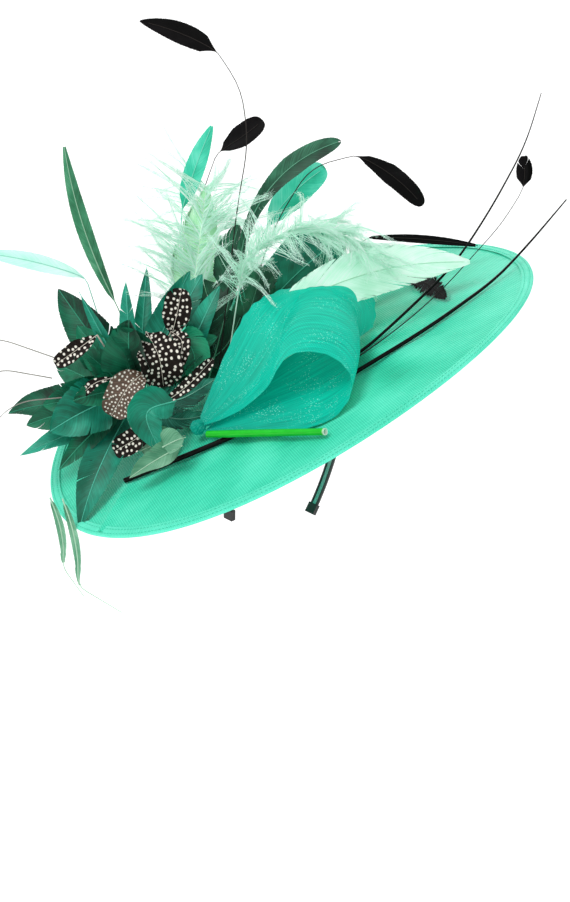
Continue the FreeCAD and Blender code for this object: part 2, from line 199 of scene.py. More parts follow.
def plate_line(solid):
    """Follows a plate by cutting it with one plane after another, square to the way so far."""
    a, b = solid
    tip = a[np.argmax(size_of(a - SPRAY))]
    root = a[np.argmax(size_of(a - tip))]
    heel, heel_b = (size_of(ends - root) < HEEL for ends in (a, b))
    out = np.concatenate([b[heel & ~heel_b] - a[heel & ~heel_b],
                          a[heel_b & ~heel] - b[heel_b & ~heel]])
    heading = unit(out[np.argmax(size_of(out))])
    centres = [np.concatenate([a[heel], b[heel_b]]).mean(axis=0)]
    acrosses, halves = [None], [STEM_RADIUS]
    while len(centres) < 600:
        spot = centres[-1] + heading * STEP
        da, db = (a - spot) @ heading, (b - spot) @ heading
        cut = (da > 0) != (db > 0)
        hits = a[cut] + (b - a)[cut] * (da[cut] / (da - db)[cut])[:, None]
        hits = hits[size_of(hits - spot) < REACH]
        if len(hits) < 3:
            break
        middle = hits.mean(axis=0)
        _, sizes, axes = np.linalg.svd(hits - middle, full_matrices=False)
        spread = (hits - middle) @ axes[0]
        known = [x for x in acrosses if x is not None]
        across = -axes[0] if known and axes[0] @ known[-1] < 0 else axes[0]
        centres.append(middle + axes[0] * (spread.max() + spread.min()) / 2)
        acrosses.append(across if sizes[0] > 2.2 * sizes[1] else None)
        halves.append((spread.max() - spread.min()) / 2)
        heading = unit(centres[-1] - centres[max(-5, -len(centres))])
    first = next((x for x in acrosses if x is not None), np.cross(heading, TOWARDS))
    for i, across in enumerate(acrosses):
        first = acrosses[i] = first if across is None else across
    return Line(np.array(centres), np.array(acrosses), np.array(halves))


def drawn_line(root, middle, tip, half):
    """A curled feather near the spray's middle, in millimetres right of, above and towards
    the show side from the binding."""
    centre = smooth_curve(SPRAY + shown((root, middle, tip)) * MM, 40)
    across = np.cross(SHOW_SIDE, unit(np.gradient(centre, axis=0)))
    return Line(centre, across, np.full(40, half * MM))


# ---- meshes ----

def placed(name, data):
    """A new object in the scene."""
    made = bpy.data.objects.new(name, data)
    bpy.context.scene.collection.objects.link(made)
    return made


def dyed(run=np.zeros(3), shaft=0.0, lift=0.0):
    """The numbers that a plume's material reads."""
    return {"flow": run, "spot": run, "shaft": shaft, "lift": lift}


class Shape:
    """Points and faces gathered for one piece, with numbers on the points for its material."""

    VECTORS = ("flow", "spot", "weave")

    def __init__(self):
        self.points, self.faces, self.numbers, self.count = [], [], {}, 0

    def add_grids(self, grids, closed=False, **numbers):
        """grids is (many, rows, columns, 3); closed joins the last column to the first."""
        many, rows, columns = grids.shape[:3]
        index = np.arange(many * rows * columns).reshape(many, rows, columns) + self.count
        if closed:
            index = np.concatenate([index, index[:, :, :1]], axis=2)
        quads = np.stack([index[:, :-1, :-1], index[:, :-1, 1:], index[:, 1:, 1:],
                          index[:, 1:, :-1]], axis=-1)
        self.faces.append(quads.reshape(-1, 4))
        self.points.append(grids.reshape(-1, 3))
        self.count += many * rows * columns
        for key, value in numbers.items():
            value = value if key in self.VECTORS else np.asarray(value, float)[..., None]
            full = np.broadcast_to(value, (many, rows, columns, value.shape[-1]))
            self.numbers.setdefault(key, []).append(full.reshape(-1, value.shape[-1]))
        return self

    def add_tubes(self, paths, radii, sides=6, **numbers):
        """Rods along paths (many, steps, 3) with radii (many, steps)."""
        tangent = unit(np.gradient(paths, axis=1))
        aside = unit(np.cross(tangent, shown((0.3, 1, 0.1))))
        other = np.cross(tangent, aside)
        turn = angles(sides)[:, None]
        ring = aside[:, :, None] * np.cos(turn) + other[:, :, None] * np.sin(turn)
        grids = paths[:, :, None] + ring * np.asarray(radii)[:, :, None, None]
        return self.add_grids(grids, closed=True, **numbers)

    def stand(self, name, look):
        """The shape as an object in the scene."""
        mesh = bpy.data.meshes.new(name)
        mesh.from_pydata(np.concatenate(self.points).tolist(), [],
                         np.concatenate(self.faces).tolist())
        for key, rows in self.numbers.items():
            kind, field = ("FLOAT_VECTOR", "vector") if key in self.VECTORS else ("FLOAT", "value")
            layer = mesh.attributes.new(key, kind, "POINT")
            layer.data.foreach_set(field, np.concatenate(rows).ravel())
        mesh.shade_smooth()
        mesh.materials.append(look.material)
        return placed(name, mesh)

    def make(self, name, look, slot, replaces=(), body="root"):
        """The finished piece."""
        piece = self.stand(name, look)
        if body:
            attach(piece, body)
        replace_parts(piece, *replaces)
        return piece


def smooth_curve(points, count):
    """A Catmull-Rom curve through the points, with count evenly shared places on it."""
    points = np.asarray(points, float)
    ends = np.concatenate([[2 * points[0] - points[1]], points, [2 * points[-1] - points[-2]]])
    t = np.linspace(0, len(points) - 1, count)
    i = np.minimum(t.astype(int), len(points) - 2)
    f = (t - i)[:, None]
    p0, p1, p2, p3 = ends[i], ends[i + 1], ends[i + 2], ends[i + 3]
    return 0.5 * (2 * p1 + (p2 - p0) * f + (2 * p0 - 5 * p1 + 4 * p2 - p3) * f ** 2
                  + (3 * p1 - p0 - 3 * p2 + p3) * f ** 3)


# ---- materials ----

class Look:
    """A procedural material: one Principled surface and the nodes that feed it."""

    def __init__(self, name, **even):
        self.material = bpy.data.materials.new(name)
        self.material.use_nodes = True
        self.tree = self.material.node_tree
        self.surface = self.tree.nodes["Principled BSDF"]
        self.even(**even)

    def even(self, **values):
        for key, value in values.items():
            self.surface.inputs[key.replace("_", " ")].default_value = value

    def node(self, kind, inputs=(), output=0, **settings):
        made = self.tree.nodes.new("ShaderNode" + kind)
        for key, value in settings.items():
            setattr(made, key, value)
        for socket, value in dict(inputs).items():
            if isinstance(value, bpy.types.NodeSocket):
                self.tree.links.new(value, made.inputs[socket])
            else:
                made.inputs[socket].default_value = value
        return made.outputs[output]

    def number(self, name):
        return self.node("Attribute", output="Fac", attribute_name=name)

    def vector(self, name, across=1, along=1):
        raw = self.node("Attribute", output="Vector", attribute_name=name)
        return self.node("Mapping", {"Vector": raw, "Scale": (across, along, 1)})

    def math(self, operation, a, b=0.0, clamp=False):
        return self.node("Math", {0: a, 1: b}, operation=operation, use_clamp=clamp)

    def noise(self, vector, scale=1.0, detail=2.0, rough=0.5):
        return self.node("TexNoise", {"Vector": vector, "Scale": scale, "Detail": detail,
                                      "Roughness": rough})

    def fade(self, value, start, end, top=1.0):
        """Grows from 0 to top as the value goes from start to end."""
        return self.node("MapRange", {0: value, 1: start, 2: end, 3: 0.0, 4: top})

    def ramp(self, factor, stops):
        made = self.tree.nodes.new("ShaderNodeValToRGB")
        ramp = made.color_ramp
        while len(ramp.elements) < len(stops):
            ramp.elements.new(1.0)
        for element, (place, colour) in zip(ramp.elements, stops):
            element.position = place
            element.color = (*web(colour), 1)
        self.tree.links.new(factor, made.inputs[0])
        return made.outputs[0]

    def mix(self, factor, first, colour):
        return self.node("Mix", {0: factor, 6: first, 7: (*web(colour), 1)}, output=2,
                         data_type="RGBA")

    def wire(self, socket, value):
        self.tree.links.new(value, self.surface.inputs[socket])

    def feathered(self, streaks, vane, shaft):
        self.wire("Base Color", self.mix(self.number("shaft"), vane, shaft))
        self.bump(streaks, 0.4 * MM, 0.5)
        return self

    def total(self, *parts):
        """The sum of each part times its share, kept between 0 and 1."""
        sum_ = 0.0
        for part, share in parts:
            sum_ = self.node("Math", {0: part, 1: share, 2: sum_}, operation="MULTIPLY_ADD")
        return self.math("ADD", sum_, 0.0, clamp=True)

    def bump(self, height, distance, strength):
        self.wire("Normal", self.node("Bump", {"Height": height, "Distance": distance,
                                               "Strength": strength}))


def web(code):
    """A colour from its usual six-figure code, in linear light."""
    shares = [int(code[i:i + 2], 16) / 255 for i in (0, 2, 4)]
    return tuple(x / 12.92 if x <= 0.04045 else ((x + 0.055) / 1.055) ** 2.4 for x in shares)


def plume(name, dark, middle, light, shaft, roughness=0.45, sheen=0.08, streak=0.6):
    """Dyed barbs: streaks run along each barb, the tone drifts, and 'lift' adds own tone and painted
    light and shade.
    """
    look = Look(name, Roughness=roughness, Sheen_Weight=sheen, Specular_IOR_Level=0.3)
    streaks = look.noise(look.vector("flow", 1.6, 0.06), 1.0, 3.0, 0.6)
    drift = look.noise(look.vector("spot", 0.04, 0.05))
    tone = look.total((drift, 1), (streaks, 1.1 * streak), (-0.5, 1.1 * streak),
                      (look.number("lift"), 1))
    vane = look.ramp(tone, ((0.22, dark), (0.52, middle), (0.85, light)))
    return look.feathered(streaks, vane, shaft)


def guinea(name, ground, pale, pitch, spot):
    """Guinea fowl: rows of round white spots on a dark vane."""
    look = Look(name, Roughness=0.55, Sheen_Weight=0.05)
    cells = look.node("TexVoronoi", {"Vector": look.vector("spot"), "Scale": 1 / pitch,
                                     "Randomness": 0.6}, output="Distance",
                      voronoi_dimensions="2D")
    round_spot = look.fade(cells, spot + 0.07, spot)
    streaks = look.noise(look.vector("flow", 1.4, 0.1), 1.0, 3.0, 0.6)
    vane = look.ramp(streaks, ((0.3, ground), (0.75, pale)))
    dotted = look.mix(round_spot, vane, "e4e0d4")
    return look.feathered(streaks, dotted, "cfc9bb")


def woven(name, dark, middle, light, pitch, depth, **even):
    """Plain weave: warp and weft ribs, thick and thin threads, a slow change of tone, and the brim's
    painted light and shade from 'lift'.
    """
    look = Look(name, **even)
    rib = {"Vector": look.vector("weave"), "Scale": 0.314 / pitch, "Distortion": 0.6,
           "Detail": 1.0, "Detail Scale": 0.4}
    warp, weft = (look.node("TexWave", rib, output="Fac", bands_direction=way) for way in "XY")
    ribs = look.total((warp, 0.5), (weft, 0.5))
    slubs = look.noise(look.vector("weave", 0.05, 1.1))
    drift = look.noise(look.vector("weave", 0.012, 0.02), 1.0, 3.0)
    tone = look.total((ribs, 0.34), (slubs, 0.3), (drift, 0.45), (look.number("lift"), 1))
    look.wire("Base Color", look.ramp(tone, ((0.25, dark), (0.5, middle), (0.8, light))))
    look.bump(look.math("ADD", ribs, look.math("MULTIPLY", slubs, 0.5)), depth, 0.7)
    return look


def grainy(name, dark, light, scale, depth, **even):
    """Felt, moulded plastic or metal: a fine grain in the object's own space."""
    look = Look(name, **even)
    place = look.node("TexCoord", output="Object")
    grain = look.noise(place, scale, 4.0, 0.65)
    drift = look.noise(place, scale / 12, 2.0)
    tone = look.total((grain, 0.6), (drift, 0.4))
    look.wire("Base Color", look.ramp(tone, ((0.3, dark), (0.7, light))))
    look.bump(grain, depth, 0.6)
    return look


def braided():
    """Open nylon braid: fine crossing filaments, denser stripes, painted glints and a painted glow;
    'lift' adds painted light and shade.
    """
    # Painted light: a faint teal emission stands in for light shining through the braid.
    look = Look("crinoline", Roughness=0.5, Specular_IOR_Level=0.15, Emission_Strength=0.16,
                Emission_Color=(0, 0.6, 0.46, 1))
    stripes = look.noise(look.vector("weave", 0.02, 0.55), 1.0, 3.0, 0.6)
    left, right = (look.node("TexWave", {"Vector": look.vector("weave", 1, way), "Scale": 0.28,
                                         "Distortion": 0.4},
                             output="Fac", bands_direction="DIAGONAL") for way in (1, -1))
    threads = look.math("MAXIMUM", left, right)
    # Painted highlights: bright dots in patches, mixed into the braid's colour as glints.
    glint = look.node("TexVoronoi", {"Vector": look.vector("weave", 0.45, 0.9), "Scale": 1.0},
                      output="Distance")
    glint = look.fade(glint, 0.26, 0.14)
    patches = look.noise(look.vector("weave", 0.03, 0.05))
    glint = look.math("MULTIPLY", glint, look.fade(patches, 0.44, 0.6, 0.9))
    tone = look.total((stripes, 0.8), (look.number("lift"), 1))
    base = look.ramp(tone, ((0.2, "008670"), (0.5, "00b498"), (0.8, "00d2b8")))
    look.wire("Base Color", look.mix(glint, base, "a8fff0"))
    look.wire("Alpha", look.total((stripes, 0.4), (threads, 0.35), (look.number("cover"), 1)))
    look.bump(threads, 0.2 * MM, 0.35)
    return look


EMERALD = plume("emerald_plume", "00301f", "00694a", "0a8f66", "2f9a78")
TEAL = plume("teal_plume", "005a44", "04846a", "28ad8f", "4cbca2")
BRIGHT = plume("bright_teal_plume", "14a985", "34c8a6", "74e0c6", "80dcc6", 0.5)
BOTTLE = plume("bottle_green_plume", "0a3020", "17523a", "3d8a68", "5fa384")
LEAF = plume("leaf_green_plume", "1b5a3a", "37865f", "6fb08c", "8fbd9f", 0.5)
FLUFF = plume("dark_fluff_plume", "034435", "0b6f59", "4aae95", "7fc4ae", 0.6, streak=1.2)
ICE = plume("ice_mint_plume", "a4efd8", "c4f7e8", "e0fdf5", "8fd6c2", 0.55)
MINT = plume("mint_goose_plume", "b0e8cc", "d2f8e6", "effff6", "a6d8bc", 0.55, 0.1, 0.9)
PALE = plume("pale_green_plume", "8ad79a", "aee8b8", "d4f8d8", "d4ecd4", 0.6, 0.1, 1.2)
FLUE = plume("ostrich_flue", "b4edd4", "d8fbec", "f4fffb", "c9e8d8", 0.6, 0.1)
SAGE = plume("sage_plume", "3f8060", "69a483", "9accae", "a9d0b4", 0.6)
CHARCOAL = plume("charcoal_plume", "030303", "080708", "141214", "2c2826", 0.5, 0.0)
INK = plume("ink_quill", "060505", "0f0d0c", "2a2523", "9fb0a8", 0.3, 0.0)
SMOKE = plume("smoke_filament", "5d5a55", "8a8880", "a9aaa2", "85837c", 0.5, 0.0)
GREEN = plume("green_quill", "089a12", "10bf1f", "3ddb45", "dfeee0", 0.28, 0.0, 0.5)
GUINEA = guinea("guinea_black", "0e0a08", "241b17", 5.4, 0.2)
GUINEA_BROWN = guinea("guinea_brown", "3a2a1e", "6e5443", 3.8, 0.2)
SINAMAY = woven("sinamay", "0ba581", "2bd6ad", "66f2d0", 2.2, 0.5 * MM, Roughness=0.5,
                Sheen_Weight=0.02, Specular_IOR_Level=0.3)
SATIN = woven("satin", "050505", "0d0d0e", "222224", 0.5, 0.1 * MM, Roughness=0.35,
              Sheen_Weight=0.3)
for matt in (CHARCOAL, INK, GUINEA):
    matt.even(Specular_IOR_Level=0.08)
CRINOLINE = braided()
# Painted light: a faint pale-green glow lightens the shaded sides of the pale plumes, which are no
# lamp.
for glowing in (FLUE, PALE, MINT):
    glowing.even(Emission_Color=(*web("b4f0d0"), 1), Emission_Strength=0.09)
FELT = grainy("felt", "0b7d62", "19a886", 900, 0.5 * MM, Roughness=0.95, Sheen_Weight=0.5)
TAPE = grainy("floral_tape", "0c3a28", "1c5c41", 500, 0.3 * MM, Roughness=0.7)
THREAD = grainy("sewing_thread", "10b38f", "2fdcb6", 1500, 0.15 * MM, Roughness=0.6)
STEEL = grainy("spring_steel", "8d9092", "b4b7b9", 1200, 0.02 * MM, Roughness=0.35, Metallic=1.0)
CAP = grainy("cap_plastic", "060606", "151515", 700, 0.08 * MM, Roughness=0.45)


# ---- feathers ----

def petal_outline(x):
    """Broad near the base, then a long taper to a point."""
    return np.clip(x / 0.3, 0, 1) ** 0.5 * (1 - x ** 3.2) ** 0.95


def round_outline(x):
    """Sides that stay wide, then a blunt rounded end."""
    return np.clip(x / 0.45, 0, 1) ** 0.7 * (1 - x ** 7) ** 0.5


def paddle_outline(x):
    """Narrow below, broad above, and a blunt end."""
    grown = 0.4 + 0.6 * np.clip((x - 0.4) / 0.35, 0, 1) ** 1.5
    return grown * np.clip(x / 0.12, 0, 1) ** 0.6 * (1 - x ** 14) ** 0.6


def spindle_outline(x):
    return np.sin(math.pi * x ** 0.85) ** 0.7


class Vane:
    """How a feather's barbs lie. Lengths are in metres, and shares are of the half width."""

    pitch = 0.9 * MM        # along the shaft from one barb to the next
    lean = 0.9              # a barb's end is this many half widths ahead of its root
    cup = 0.25              # rise of the edge over the shaft
    ragged = 0.02           # random change of a barb's length
    splits = 1              # notches between groups of barbs
    gap = 0.05              # opening of a notch at the edge, in half widths
    wave = 0.14             # height of the edge's slow waves
    twist = 0.35            # radians from root to tip, to one side or the other
    curl = 0.0              # metres that the tip curls towards the show side
    widen = 1.0
    outline = None          # the plate's own outline, or one of the functions above
    base = 1.0              # share of the plate's bare stem that stays bare
    face = 0.0              # share of the roll about the shaft that would face the show side
    shaft = STEM_RADIUS

    def __init__(self, **changes):
        self.__dict__.update(changes)

    def half(self, line, s):
        """Half width at each share of the length."""
        if self.outline is None:
            return np.interp(s, line.s, line.half) * self.widen
        start = line.start * self.base
        x = np.clip((s - start) / (line.end - start), 0, 1)
        return self.outline(x) * line.half.max() * self.widen


def barbs(shape, line, vane, rng):
    """Adds both webs of a feather, each row of points one barb, parted at the notches."""
    start = line.start * vane.base
    span = line.end - start
    count = max(20, int(line.length * span / vane.pitch))
    root = start + span * np.linspace(0, 0.985, count)
    t = np.linspace(0, 1, 8)
    widest = line.half.max()
    tone = rng.random() * 40
    paler = rng.normal(0, 0.07)
    turn = vane.twist * rng.choice([-1, 1])
    phase = rng.random(2) * 6.3
    for side in (-1, 1):
        cuts = np.sort(rng.choice(np.arange(count // 5, count - 6), vane.splits, replace=False))
        shift = np.zeros(count)
        for notch in cuts:
            away = np.arange(count) - notch
            pull = vane.gap * rng.uniform(0.3, 1) * np.exp(-np.abs(away + 0.5) / (count * 0.06))
            shift += pull * np.where(away < 0, -1, 1)
        reach = (vane.lean * t ** 1.15 + shift[:, None] * t ** 3) * widest / line.length
        s = np.minimum(root[:, None] + reach, line.end)
        fray = 1 - np.abs(rng.normal(0, vane.ragged, count))[:, None] * t ** 3
        centre, tangent, across, normal = line.at(s)
        half = vane.half(line, s)
        out = half * t * fray
        slow = np.sin(11 * s + phase[(side + 1) // 2]) * vane.wave
        lift = (vane.cup + slow) * half * t ** 2
        roll = np.arctan2(-(across @ SHOW_SIDE), normal @ SHOW_SIDE)
        angle = (turn * (s - 0.3) + vane.face * roll)[..., None]
        aside = across * np.cos(angle) + normal * np.sin(angle)
        rise = normal * np.cos(angle) - across * np.sin(angle)
        bent = curl_of(s, vane)[..., None]
        spot = centre + aside * side * out[..., None] + rise * lift[..., None] + normal * bent
        flow, flat = (stacked(run * line.length / MM, side * out / MM, tone)
                      for run in (root[:, None], s))
        # Each barb's own random tone, plus painted light and shade: one web lighter than the other
        # as if lit from one side. The tone also rises towards the barb ends and falls towards the
        # root.
        bright = rng.normal(paler, 0.03, count)[:, None] + 0.06 * side
        bright = bright + 0.06 * t ** 3 - 0.12 * (1 - s) ** 3
        for rows in np.split(np.arange(count), cuts):
            more = np.append(rows, min(rows[-1] + 1, count - 1))
            part = spot[more]
            part[-1] += (spot[rows[-1]] - part[-1]) * t[:, None] ** 2
            shape.add_grids(part[None], flow=flow[None, more], spot=flat[None, more],
                            shaft=0.0, lift=bright[None, more])


def curl_of(s, vane):
    """How far the tip has curled towards the show side."""
    return vane.curl * (np.maximum(s - 0.55, 0) / 0.45) ** 2


def shaft(shape, line, vane):
    """Adds the tapering rod down the middle of a feather."""
    s = np.linspace(0, 0.97, 40)
    centre, _, _, normal = line.at(s)
    path = centre + normal * (curl_of(s, vane)[:, None] + 0.25 * vane.shaft)
    radius = vane.shaft * (1 - 0.6 * s)
    shape.add_tubes(path[None], radius[None], **dyed(line.run(s), shaft=1.0))


def flues(shape, line, rng, wisps, length, droop, spread, first):
    """Adds an ostrich plume's loose barbs: clinging wisps of strands, each with short hairs."""
    strands, steps, hairs = 9, 12, 12
    s = rng.uniform(first, 1.0, wisps)
    centre, tangent, across, normal = line.at(s)
    side = rng.choice([-1, 1], wisps)[:, None]
    lean = rng.uniform(0.2, 1.1, (wisps, 1))
    way = unit(across * side * np.cos(lean) + tangent * np.sin(lean)
               + normal * rng.normal(0, spread, (wisps, 1)))
    long = length * rng.uniform(0.5, 1.0, (wisps, 1))
    curl = unit(rng.normal(0, 1, (wisps, 3)) + TOWARDS * 0.2)
    end = centre + way * long + (curl * rng.uniform(0.1, 0.45, (wisps, 1)) - SHOW_UP * droop) * long
    root = line.at(np.clip(s[:, None] + rng.normal(0, 0.022, (wisps, strands)), 0, 1))[0]
    knee = (centre + way * long * 0.55)[:, None] + rng.normal(0, 2.4 * MM, root.shape)
    end = end[:, None] + rng.normal(0, 1.6 * MM, root.shape)
    t = np.linspace(0, 1, steps)[:, None]
    path = (root[:, :, None] * (1 - t) ** 2 + knee[:, :, None] * 2 * t * (1 - t)
            + end[:, :, None] * t ** 2)
    kink = np.sin(t * 11 + rng.uniform(0, 6, (wisps, strands, 1, 1))) * curl[:, None, None, ::-1]
    path = above_brim((path + kink * 0.9 * MM * t).reshape(-1, steps, 3))
    many = len(path)
    thick = np.tile(0.34 * MM * (1.15 - t[:, 0]), (many, 1))
    place = stacked(rng.uniform(0, 40, (many, 1, 1)), 8 * t, 0)
    tone = rng.normal(0, 0.14, (many, 1, 1)) + 0.15 * t
    shape.add_tubes(path, thick, 3, **dyed(place, lift=tone))
    pick = rng.integers(2, steps, (many, hairs))
    foot = np.take_along_axis(path, pick[..., None], axis=1)
    tip = foot + unit(rng.normal(0, 1, foot.shape)) * rng.uniform(1, 3, (many, hairs, 1)) * MM
    rods = np.stack([foot, tip], axis=2).reshape(-1, 2, 3)
    fine = np.tile((0.14 * MM, 0.05 * MM), (len(rods), 1))
    shape.add_tubes(rods, fine, 3, **dyed(lift=0.1))


BLADE = Vane(cup=0.12, splits=0, lean=1.5, twist=0.15)
BLACK = Vane(cup=0.1, splits=0, lean=1.5, twist=0.1, outline=spindle_outline)
BLUNT = Vane(cup=0.1, splits=0, lean=1.2, twist=0.15, outline=round_outline)
ROUNDED = Vane(cup=0.3, outline=round_outline, lean=0.6, shaft=0.0004)


def petal(look, **changes):
    return look, Vane(**{"outline": petal_outline, "base": 0.3, "face": 0.75, "widen": 1.45,
                         "twist": 0.6, **changes})


# Each feather node: its material, and how its barbs lie
FEATHERS = {
    "petals_back": petal(EMERALD), "petal_long_left": petal(EMERALD, curl=-0.006, cup=0.4),
    "petal_pale_left": petal(TEAL, curl=0.004), "petals_high_right": petal(TEAL),
    "petal_high_left": petal(EMERALD, curl=0.008, cup=0.35), "petal_low_left": petal(EMERALD),
    "petal_drooping": petal(TEAL, curl=-0.008, widen=1.2), "petals_narrow": petal(TEAL, cup=0.5),
    "petal_pointed_left": petal(EMERALD, cup=0.35), "petal_dark_low": petal(EMERALD, widen=1.5),
    "petal_dark_right": petal(EMERALD, cup=0.45),
    "petal_barbed_right": (
        FLUFF, Vane(ragged=0.12, splits=5, gap=0.12, face=1.0, base=0.3, outline=petal_outline)),
    "petal_broad_low": petal(TEAL), "petal_cupped": petal(EMERALD, cup=0.7, curl=0.006),
    "petals_inner": petal(EMERALD, cup=0.5, base=0.1),
    "petal_curled_front": petal(TEAL, cup=0.5, curl=0.008),
    "guinea_high": (GUINEA, ROUNDED), "guinea_large": (GUINEA, ROUNDED),
    "guinea_front": (GUINEA_BROWN, ROUNDED), "guinea_small": (GUINEA, ROUNDED),
    "coque_tall_left": (LEAF, BLADE), "coque_upright": (BRIGHT, BLADE),
    "coque_dark_arched": (BOTTLE, Vane(cup=0.1, lean=1.2, outline=paddle_outline, base=0.5)),
    "coque_rounded": (BRIGHT, BLUNT), "coque_low_right": (TEAL, BLUNT),
    "coque_dark_fan": (BOTTLE, Vane(splits=3, gap=0.06, ragged=0.06, lean=1.5, face=0.6)),
    "coque_pale_left": (ICE, BLADE), "quill_tall": (CHARCOAL, BLACK),
    "quill_short": (CHARCOAL, Vane(splits=0, cup=0.15, outline=round_outline, widen=1.25)),
    "quill_arched": (CHARCOAL, BLUNT), "quill_bobbed": (CHARCOAL, Vane(cup=0.5)),
    "quill_ragged": (CHARCOAL, Vane(ragged=0.2, splits=5, gap=0.25, widen=1.4)),
    "quill_back": (CHARCOAL, BLADE),
    "goose_feather": (MINT, Vane(splits=4, gap=0.08, lean=1.8, cup=0.1, twist=0.05)),
    "sage_leaves": petal(SAGE, cup=0.5, widen=1.1), "hanging_hackles": (SAGE, BLADE)}


# Feathers that curl across or fill the middle of the spray: root, middle, tip, half width.
# In a REDRAWN node they take the plates' place, and in the others they are more feathers.
DRAWN = {
    "guinea_high": [((36, 60, 14), (42, 82, 22), (47, 108, 24), 14.5)],
    "guinea_large": [
        ((12, 66, 24), (26, 40, 42), (30, 10, 34), 21),
        ((36, 66, 18), (48, 54, 34), (42, 26, 38), 9)],
    "guinea_front": [((14, 26, 40), (-2, 12, 54), (-20, -18, 48), 17)],
    "guinea_small": [
        ((-34, 62, 34), (-52, 48, 40), (-76, 32, 34), 9),
        ((-18, 20, 44), (-36, 14, 50), (-56, -4, 42), 5),
        ((24, -26, 46), (6, -38, 54), (-18, -52, 44), 12),
        ((-30, -60, 40), (-40, -67, 44), (-52, -72, 40), 7),
        ((26, -8, 52), (54, 12, 56), (79, 39, 46), 6.5)],
    "petal_curled_front": [((44, -2, 54), (16, -14, 66), (26, -48, 56), 13)],
    "petal_barbed_right": [
        ((20, -4, 26), (48, 0, 36), (82, 20, 24), 16),
        ((18, -14, 30), (46, -20, 38), (74, -16, 28), 13)],
    "petal_dark_right": [((40, 64, 14), (58, 46, 28), (60, 10, 24), 12)],
    "petal_cupped": [((16, 22, 8), (2, 52, 30), (-22, 66, 30), 12)],
    "coque_dark_fan": [
        ((50, 40, -22), (72, 78, -20), (84, 116, -26), 18),
        ((60, 30, -20), (88, 52, -22), (104, 84, -26), 17),
        ((80, 30, -30), (108, 78, -34), (126, 136, -38), 18),
        ((84, 24, -28), (120, 60, -30), (150, 104, -34), 17)],
    "coque_low_right": [
        ((96, 60, -50), (160, 128, -62), (210, 170, -72), 21),
        ((96, 70, -56), (140, 124, -66), (176, 176, -76), 19)],
    "petals_high_right": [
        ((52, 44, 8), (66, 74, 18), (84, 112, 10), 8),
        ((34, 70, -4), (52, 98, 2), (66, 124, -4), 11)]}
STEM_SAG = 6 * MM  # of a drawn feather's stem
REDRAWN = ("coque_low_right", "guinea_high", "guinea_large", "guinea_front", "guinea_small",
           "petal_curled_front", "petal_barbed_right")


def body_of(node):
    bodies = frame["record"]["behaviour"]["bodies"]
    return next(name for name, nodes in bodies.items() if node in nodes)


def slot_of(node):
    return next(p["material_slot"] for p in frame["record"]["subparts"] if p["node"] == node)


def make_feathers():
    for node, (look, vane) in FEATHERS.items():
        rng = rng_for(node)
        shape = Shape()
        lines = [drawn_line(*points) for points in DRAWN.get(node, ())]
        for line in lines:
            root = line.centre[0]
            stem = smooth_curve([SPRAY, (SPRAY + root) / 2 - TOWARDS * STEM_SAG, root], 12)
            shape.add_tubes(stem[None], np.full((1, 12), STEM_RADIUS), **dyed(shaft=1.0))
        if node not in REDRAWN:
            lines += [plate_line(solid) for solid in solids_of(node)]
        for line in lines:
            barbs(shape, line, vane, rng)
            shaft(shape, line, vane)
        shape.make(node + "_barbs", look, slot_of(node), [node], body_of(node))


def make_plumes():
    """One plume with a web under its loose flues, and an arched one of flues alone."""
    node = "ostrich_plume_upright"
    line, rng, shape = plate_line(solids_of(node)[0]), rng_for(node), Shape()
    vane = Vane(splits=8, gap=0.2, ragged=0.05, cup=0.1, lean=1.8, widen=0.9)
    barbs(shape, line, vane, rng)
    shaft(shape, line, vane)
    shape.make(node + "_web", PALE, "ostrich_mint", [node])
    shape = Shape()
    flues(shape, line, rng, wisps=95, length=0.095, droop=0.1, spread=0.6, first=0.34)
    shape.make(node + "_flues", FLUE, "ostrich_mint")
    node = "ostrich_plume_arched"
    line, rng, shape = plate_line(solids_of(node)[0]), rng_for(node), Shape()
    shaft(shape, line, BLADE)
    flues(shape, line, rng, wisps=130, length=0.075, droop=0.22, spread=0.45, first=0.35)
    shape.make(node + "_flues", FLUE, "ostrich_mint", [node])


def make_bare_quills():
    """The long black quills, and the fine filaments to the left."""
    for node, thick, look in (("long_quill_low", 0.0026, INK), ("long_quill_high", 0.0016, INK),
                              ("hackle_wisps", 0.0006, SMOKE)):
        shape = Shape()
        for solid in solids_of(node):
            line = plate_line(solid)
            s = np.linspace(0, 1, 90)
            radius = thick * (1 - 0.75 * s ** 2)
            shape.add_tubes(line.at(s)[0][None], radius[None], 8, **dyed(line.run(s) * 0.05))
        shape.make(node + "_shafts", look, slot_of(node), [node])


# ---- brim ----

def tree_of(node):
    mesh = frame["nodes"][node].data
    return BVHTree.FromPolygons([v.co for v in mesh.vertices], [p.vertices for p in mesh.polygons])


CLEAR = 0.1  # a start above or below the brim, outside all of its curve


def on_brim(tree, u, v, way):
    """Where a line square to the brim, from above (1) or below (-1), first meets it."""
    start = BRIM_CENTRE + LONG * u + ACROSS * v + NORMAL * CLEAR * way
    return np.array(tree.ray_cast(Vector(start), Vector(-NORMAL * way))[0])


def above_brim(points):
    """The same points, with any that are under the straw lifted to lie on it."""
    tree = tree_of("brim_disc")
    rows = points.reshape(-1, 3).copy()
    for i in np.flatnonzero((rows - BRIM_CENTRE) @ NORMAL < 40 * MM):
        hit = tree.ray_cast(Vector(rows[i] + NORMAL * 3 * CLEAR), Vector(-NORMAL))[0]
        if hit:
            rows[i] += NORMAL * max(0.0, 1.5 * MM - (rows[i] - np.array(hit)) @ NORMAL)
    return rows.reshape(points.shape)


PLEATS = 23  # the most that go round the brim
PLEAT_RISE, SUNK = 1.9 * MM, 0.4 * MM
FOLD = (0.65, -0.76, -0.090)  # a crease in the straw: u and v shares, then its offset
FOLD_RISE, FOLD_WIDTH = 2.5 * MM, 5 * MM


